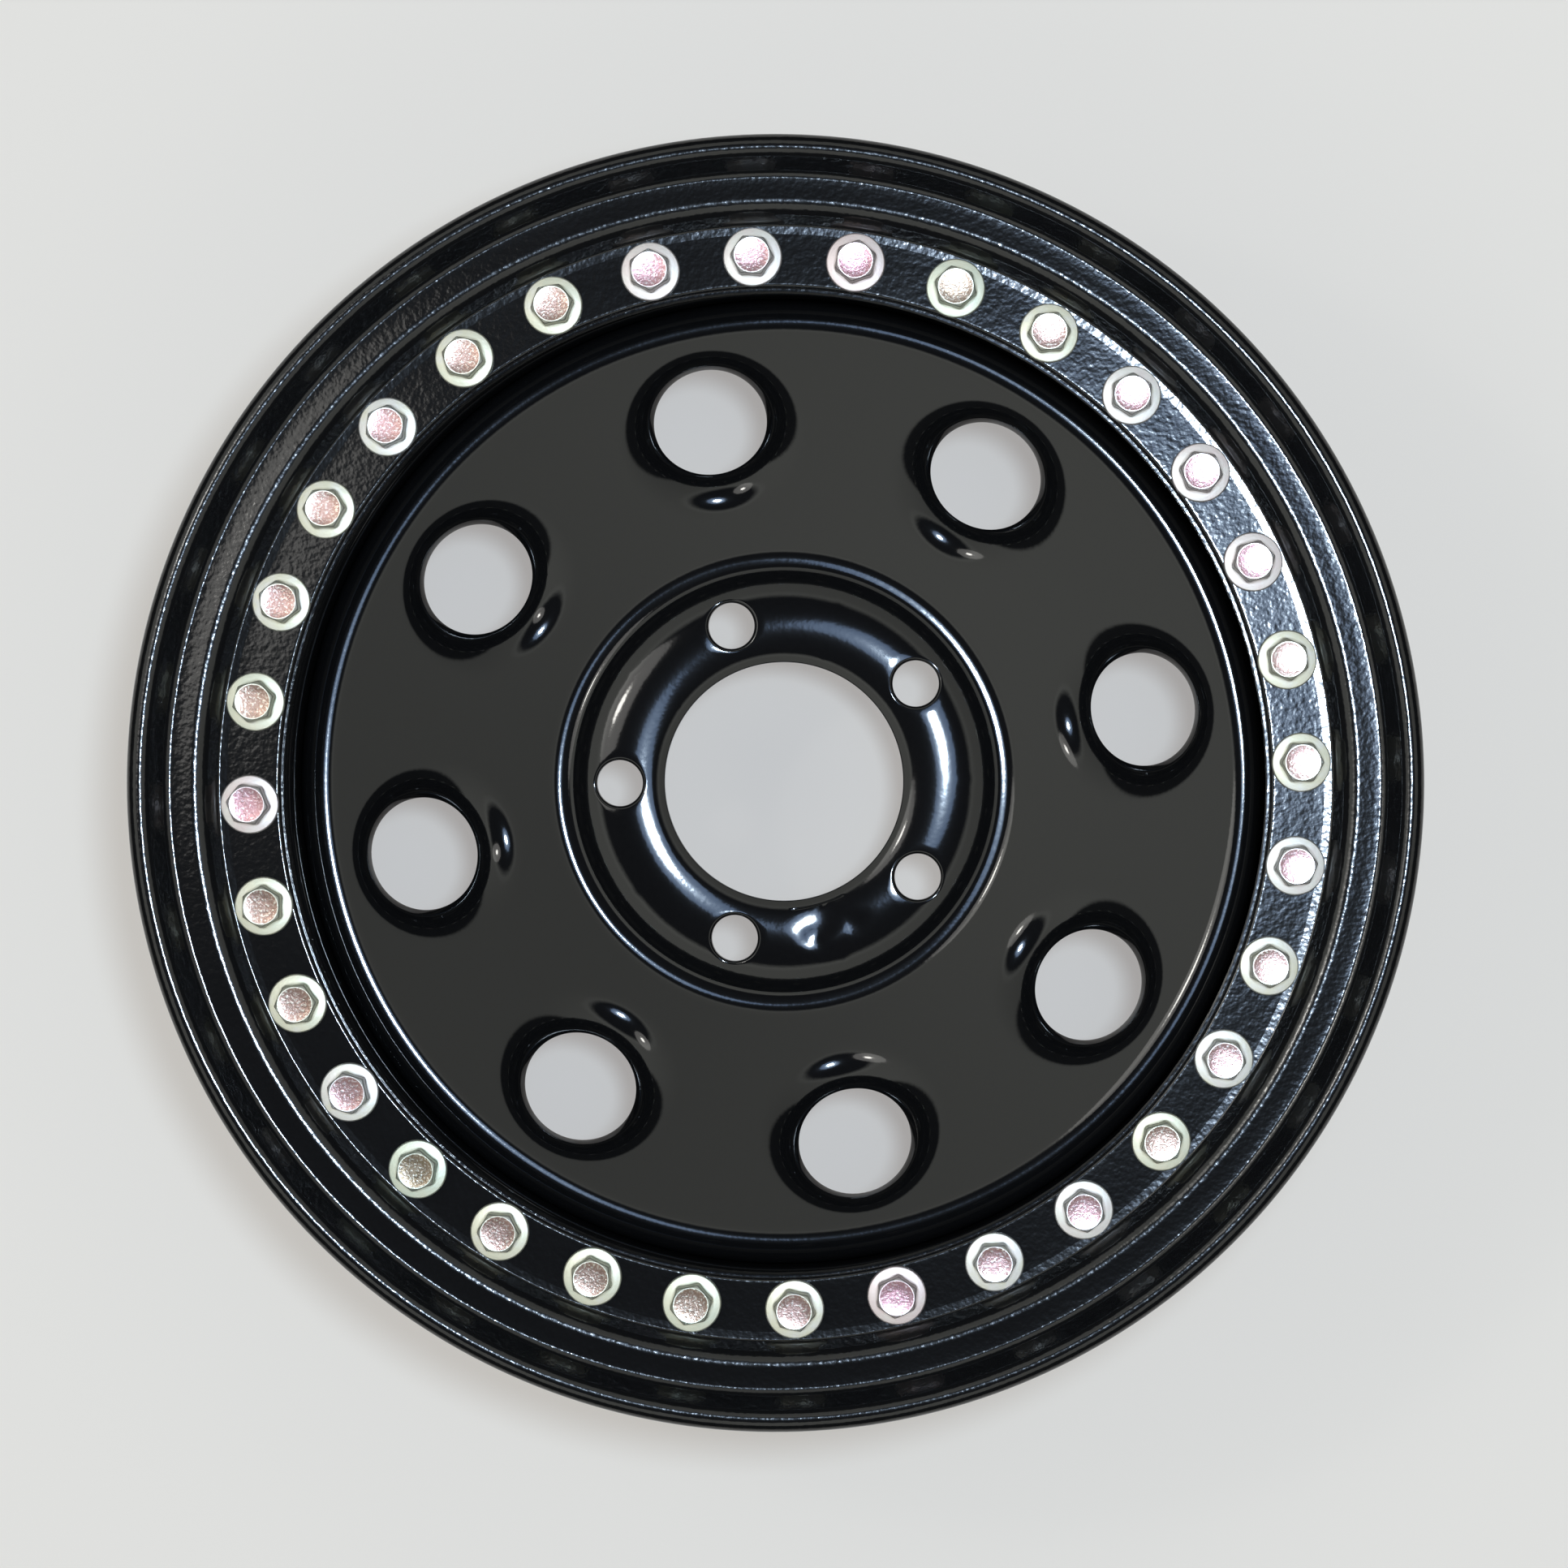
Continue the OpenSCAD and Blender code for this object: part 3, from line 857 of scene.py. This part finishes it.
def ring_strip(name, points, steps, azimuth):
    """An open strip of rings, spun from a line of points."""
    deselect()
    r, z = points[0]
    bpy.ops.mesh.primitive_plane_add(size=MM, location=(r * MM, 0, z * MM))
    obj = bpy.context.object
    obj.name = obj.data.name = name
    bpy.ops.object.mode_set(mode="EDIT")
    bpy.ops.mesh.merge(type="CENTER")
    for (r0, z0), (r1, z1) in zip(points, points[1:]):
        bpy.ops.mesh.extrude_region_move(
            TRANSFORM_OT_translate={"value": ((r1 - r0) * MM, 0, (z1 - z0) * MM)}
        )
    bpy.ops.mesh.select_all(action="SELECT")
    bpy.ops.mesh.remove_doubles(threshold=2e-6)
    bpy.ops.mesh.spin(steps=steps, angle=TURN, center=(0, 0, 0), axis=(0, 0, 1))
    bpy.ops.object.mode_set(mode="OBJECT")
    seat_in_mesh(obj)
    obj.rotation_euler = (0, 0, azimuth)
    seat_in_mesh(obj)
    return obj


# ---------------------------------------------------------------- operators


class WHEEL_OT_disc(bpy.types.Operator):
    """Press the centre disc with its windows, lug seats and bore"""

    bl_idname = "wheel.centre_disc"
    bl_label = "Centre disc"

    def execute(self, context):
        sizes = context.scene.wheel_sizes
        form, cone, pad = press_disc(sizes)
        ring_n = 240
        step_az = math.radians(WINDOW_AZ + 180 / sizes.windows)
        crest = ring_strip("crest", form.crest, ring_n, step_az)
        step = ring_strip("step", form.step, ring_n, step_az)
        bore = sizes.bore_radius / MM
        rim = [(r, form.dome(r)) for r in (44.6, 44.0, 43.4, 42.8, 42.2, bore)]
        collar = ring_strip("collar", rim, ring_n, math.radians(LUG_AZ + 180 / LUG_COUNT))
        deselect()
        for obj in (cone, pad, crest, step, collar):
            obj.select_set(True)
        context.view_layer.objects.active = cone
        bpy.ops.object.join()
        disc = context.object
        disc.name = disc.data.name = "pressed_disc"
        self.knit(disc)
        faces = len(disc.data.vertices)
        apply_modifier(disc, "SOLIDIFY", thickness=sizes.disc_sheet, offset=-1.0)
        self.flatten_back(disc, faces, form)
        self.round_edges(disc)
        smooth(disc, 60)
        dress(disc, finish("gloss_black"), "gloss_black", "centre_disc")
        return {"FINISHED"}

    def knit(self, disc):
        """Joins the zones along their circles, which share a count but not their places."""
        activate(disc)
        bpy.ops.object.mode_set(mode="EDIT")
        bpy.ops.mesh.select_all(action="SELECT")
        bpy.ops.mesh.remove_doubles(threshold=4e-6)
        bpy.ops.mesh.normals_make_consistent(inside=False)
        bm = bmesh.from_edit_mesh(disc.data)
        up = sum(f.normal.z * f.calc_area() for f in bm.faces)
        if up < 0:
            bpy.ops.mesh.flip_normals()
        bpy.ops.object.mode_set(mode="OBJECT")

    def flatten_back(self, disc, faces, form):
        """Sets the back of the pad straight under its face, and grinds it flat where it meets the hub."""
        points = disc.data.vertices
        for i in range(faces):
            r = math.hypot(points[i].co.x, points[i].co.y) / MM
            if r < PAD_R + 0.01:
                back = points[i + faces].co
                back.x, back.y = points[i].co.x, points[i].co.y
                back.z = max(0.0, form.dome(r) - form.sheet) * MM

    def round_edges(self, disc):
        """Rounds the cut edges of the sheet: windows, bore and foot."""
        activate(disc)
        bpy.ops.object.mode_set(mode="EDIT")
        bpy.ops.mesh.select_mode(type="EDGE")
        bpy.ops.mesh.select_all(action="DESELECT")
        bm = bmesh.from_edit_mesh(disc.data)
        for e in bm.edges:
            if e.is_manifold and e.calc_face_angle(0.0) > math.radians(60):
                mid = (e.verts[0].co + e.verts[1].co) / 2
                r = math.hypot(mid.x, mid.y)
                e.select = not 0.045 < r < 0.070
        bmesh.update_edit_mesh(disc.data)
        bpy.ops.mesh.bevel(offset=0.0008, segments=3, affect="EDGES", clamp_overlap=True)
        bpy.ops.mesh.select_mode(type="VERT")
        bpy.ops.object.mode_set(mode="OBJECT")


class WHEEL_OT_barrel(bpy.types.Operator):
    """Spin the rim barrel and drill its valve hole"""

    bl_idname = "wheel.rim_barrel"
    bl_label = "Rim barrel"

    def execute(self, context):
        barrel = spin_section("rolled_barrel", barrel_section(context.scene.wheel_sizes))
        self.drill(barrel)
        smooth(barrel, 40)
        dress(barrel, finish("gloss_black"), "gloss_black", "rim_barrel")
        return {"FINISHED"}


    def drill(self, barrel):
        """Drills the valve hole square through the front ramp."""
        deselect()
        bpy.ops.mesh.primitive_cylinder_add(vertices=64, radius=0.00575, depth=0.03)
        tool = bpy.context.object
        turn = Matrix.Rotation(math.radians(174), 4, "Z")
        lean = Matrix.Rotation(math.radians(140), 4, "Y")
        tool.data.transform(turn @ Matrix.Translation((0.17655, 0, 0.05607)) @ lean)
        apply_modifier(barrel, "BOOLEAN", operation="DIFFERENCE", solver="EXACT", object=tool)
        bpy.data.objects.remove(tool)


class WHEEL_OT_ring(bpy.types.Operator):
    """Spin the clamp ring"""

    bl_idname = "wheel.clamp_ring"
    bl_label = "Clamp ring"

    def execute(self, context):
        ring = spin_section("rolled_clamp_ring", clamp_ring_section(context.scene.wheel_sizes), 288)
        smooth(ring)
        dress(ring, finish("gloss_black"), "gloss_black", "clamp_ring")
        return {"FINISHED"}


class WHEEL_OT_bolts(bpy.types.Operator):
    """Turn one flange bolt and copy it round the ring"""

    bl_idname = "wheel.ring_bolts"
    bl_label = "Ring bolts"

    def turned_bolt(self, sizes):
        flats = sizes.bolt_flats / MM
        rim = sizes.bolt_flange / MM / 2
        corner = flats / math.sqrt(3)
        top_r = flats / 2 * 0.95
        section = [(0.01, -25.0), (2.8, -25.0), (4.0, -23.8), (4.0, 0.0), (rim - 0.3, 0.0)]
        edge = Section(rim - 0.3, 0.0, 0).arc(90, 0.3, 30)
        edge.line(rim, 0.75).arc(165, 0.75, 15)
        section = section[:-1] + edge.points
        section += [(corner + 0.55, 1.86), (corner + 0.12, 2.00), (corner, 2.30), (corner, 4.0)]
        drop = (corner - top_r) * math.tan(math.radians(30))
        section += [(corner, 8.1 - drop), (top_r, 8.1), (top_r - 0.35, 8.06), (top_r - 1.2, 7.92), (2.2, 7.86), (0.01, 7.86)]
        bolt = spin_section("bolt", section, 96)
        activate(bolt)
        bpy.ops.object.mode_set(mode="EDIT")
        bpy.ops.mesh.select_all(action="SELECT")
        bpy.ops.mesh.remove_doubles(threshold=0.00004)
        bpy.ops.mesh.delete_loose(use_verts=True, use_edges=True, use_faces=False)
        bpy.ops.object.mode_set(mode="OBJECT")
        for v in bolt.data.vertices:
            x, y, z = v.co / MM
            r = math.hypot(x, y)
            if z > 2.2 and r > top_r + 0.01:
                a = math.atan2(y, x) % (math.pi / 3) - math.pi / 6
                wall = flats / 2 / math.cos(a)
                scale = wall / corner
                v.co.x *= scale
                v.co.y *= scale
                if z > 5.0:
                    v.co.z = (8.1 - (wall - top_r) * math.tan(math.radians(30))) * MM
        return bolt

    def execute(self, context):
        sizes = context.scene.wheel_sizes
        pattern = self.turned_bolt(sizes)
        apply_modifier(
            pattern, "BEVEL", width=0.0003, segments=2, limit_method="ANGLE", angle_limit=math.radians(38)
        )
        smooth(pattern, 35)
        top_r = sizes.bolt_flats / 2 * 0.95
        mesh = pattern.data
        head = mesh.attributes.new("head_top", "FLOAT", "POINT")
        for v, item in zip(mesh.vertices, head.data):
            on_top = v.co.z > 0.0077 and math.hypot(v.co.x, v.co.y) < top_r - 0.0002
            item.value = 1.0 if on_top else 0.0
        for k in range(sizes.bolts):
            activate(pattern)
            bpy.ops.object.duplicate()
            bolt = context.object
            bolt.name = bolt.data.name = f"flange_bolt_{k + 1:02d}"
            azimuth = math.radians(2.3) + TURN * k / sizes.bolts
            turned = Matrix.Rotation(math.radians(37 * k % 60), 4, "Z")
            place = Matrix.Translation(
                (sizes.bolt_pitch * math.cos(azimuth), sizes.bolt_pitch * math.sin(azimuth), sizes.band_height)
            )
            bolt.data.transform(place @ turned)
            film = bolt.data.attributes.new("film_tone", "FLOAT", "POINT")
            tone = (math.sin(k * 12.9898 + 4.1) * 43758.5453) % 1.0
            film.data.foreach_set("value", [tone] * len(bolt.data.vertices))
            dress(bolt, finish("zinc_chromate"), "zinc_chromate", "ring_bolts")
        bpy.data.objects.remove(pattern)
        return {"FINISHED"}


class WHEEL_OT_frame_finish(bpy.types.Operator):
    """Give the frame's own pieces their finish"""

    bl_idname = "wheel.frame_finish"
    bl_label = "Frame pieces"

    def execute(self, context):
        for node, name in (
            ("inner_ring", "gloss_black"),
            ("disc_welds", "painted_weld"),
            ("ring_weld", "painted_weld"),
            ("weld_nuts", "gloss_black"),
        ):
            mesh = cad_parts[node].data
            mesh.materials.clear()
            mesh.materials.append(finish(name))
        return {"FINISHED"}


class WHEEL_OT_stage(bpy.types.Operator):
    """Lay the floor, set the room and the lights, and place the camera"""

    bl_idname = "wheel.stage"
    bl_label = "Stage"

    def execute(self, context):
        stage = context.scene.wheel_stage
        deselect()
        bpy.ops.mesh.primitive_plane_add(size=12.0, location=(0, 0, CAD_BOX[0].z))
        floor = context.object
        floor.name = "floor"
        floor.data.materials.append(finish("pale_floor"))
        self.room(context, stage.room)
        self.lights(stage)
        self.camera(context, stage)
        context.scene.view_settings.view_transform = "Standard"
        return {"FINISHED"}

    def room(self, context, level):
        world = context.scene.world or bpy.data.worlds.new("room")
        context.scene.world = world
        world.use_nodes = True
        tree = world.node_tree
        tree.nodes.clear()
        place = tree.nodes.new("ShaderNodeTexCoord")
        split = tree.nodes.new("ShaderNodeSeparateXYZ")
        tree.links.new(place.outputs["Generated"], split.inputs[0])
        ramp = tree.nodes.new("ShaderNodeValToRGB")
        ramp.color_ramp.interpolation = "LINEAR"
        stops = ramp.color_ramp.elements
        stops[0].position, stops[0].color = 0.585, (0.025, 0.025, 0.024, 1)
        stops[1].position, stops[1].color = 0.93, (0.03, 0.03, 0.035, 1)
        for height, colour in (
            (0.64, (0.76, 0.775, 0.72, 1)),
            (0.86, (0.79, 0.80, 0.74, 1)),
            (0.895, (0.98, 1.0, 0.93, 1)),
        ):
            stops.new(height).color = colour
        tree.links.new(split.outputs["Z"], ramp.inputs["Fac"])
        back = tree.nodes.new("ShaderNodeBackground")
        side = tree.nodes.new("ShaderNodeVectorMath")
        side.operation = "DOT_PRODUCT"
        side.inputs[1].default_value = (-0.23 * level, -0.17 * level, 0.0)
        tree.links.new(place.outputs["Generated"], side.inputs[0])
        total = tree.nodes.new("ShaderNodeMath")
        total.operation = "ADD"
        total.inputs[1].default_value = level
        tree.links.new(side.outputs["Value"], total.inputs[0])
        tree.links.new(total.outputs[0], back.inputs["Strength"])
        tree.links.new(ramp.outputs["Color"], back.inputs["Color"])
        out = tree.nodes.new("ShaderNodeOutputWorld")
        tree.links.new(back.outputs[0], out.inputs[0])

    def lights(self, stage):
        def lamp(name, place, size, power, colour, target=(0, 0, 0.1)):
            data = bpy.data.lights.new(name, "AREA")
            data.shape = "DISK"
            data.size = size
            data.energy = power
            data.color = colour
            obj = bpy.data.objects.new(name, data)
            bpy.context.scene.collection.objects.link(obj)
            obj.location = place
            aim = Vector(target) - Vector(place)
            obj.rotation_euler = aim.to_track_quat("-Z", "Y").to_euler()

        lamp("key_light", (0.12, 0.06, 1.57), 0.115, stage.key_power, (0.70, 0.85, 1.0))
        lamp("key_glow", (0.14, 0.07, 1.62), 0.38, stage.glow_power, (0.42, 0.62, 1.0))
        lamp("side_light", (-0.54, 0.22, 1.50), 0.11, stage.side_power, (1.0, 0.98, 0.92))
        lamp("side_panel", (-0.56, 0.23, 1.52), 0.50, stage.panel_power, (1.0, 0.98, 0.94))

    def camera(self, context, stage):
        data = bpy.data.cameras.new("photo_camera")
        data.sensor_width = 36.0
        data.lens = stage.lens
        obj = bpy.data.objects.new("photo_camera", data)
        context.scene.collection.objects.link(obj)
        place = Vector((stage.camera_right, stage.camera_up, stage.camera_height))
        target = Vector((0.0, -0.0009, 0.005))
        back = (place - target).normalized()
        right = Vector((0, 1, 0)).cross(back).normalized()
        up = back.cross(right)
        turn = Matrix((right, up, back)).transposed().to_4x4()
        obj.matrix_world = Matrix.Translation(place) @ turn
        context.scene.camera = obj


class WHEEL_PT_panel(bpy.types.Panel):
    """Lists the sizes, the finishes and the steps of the build"""

    bl_idname = "WHEEL_PT_panel"
    bl_label = "Beadlock Wheel"
    bl_space_type = "VIEW_3D"
    bl_region_type = "UI"
    bl_category = "Wheel"

    def draw(self, context):
        scene = context.scene
        for group in (scene.wheel_sizes, scene.wheel_finish, scene.wheel_stage):
            box = self.layout.box()
            for key in group.__annotations__:
                box.prop(group, key)
        for step in STEPS:
            self.layout.operator(step.bl_idname)


GROUPS = (("wheel_sizes", WheelSizes), ("wheel_finish", WheelFinish), ("wheel_stage", WheelStage))
STEPS = (
    WHEEL_OT_disc,
    WHEEL_OT_barrel,
    WHEEL_OT_ring,
    WHEEL_OT_bolts,
    WHEEL_OT_frame_finish,
    WHEEL_OT_stage,
)


def register():
    for name, group in GROUPS:
        bpy.utils.register_class(group)
        setattr(bpy.types.Scene, name, PointerProperty(type=group))
    for cls in (*STEPS, WHEEL_PT_panel):
        bpy.utils.register_class(cls)


def unregister():
    for cls in reversed((*STEPS, WHEEL_PT_panel)):
        bpy.utils.unregister_class(cls)
    for name, group in reversed(GROUPS):
        delattr(bpy.types.Scene, name)
        bpy.utils.unregister_class(group)


def main():
    register()
    bpy.ops.wheel.centre_disc()
    bpy.ops.wheel.rim_barrel()
    bpy.ops.wheel.clamp_ring()
    bpy.ops.wheel.ring_bolts()
    bpy.ops.wheel.frame_finish()
    bpy.ops.wheel.stage()


if __name__ == "__main__":
    main()
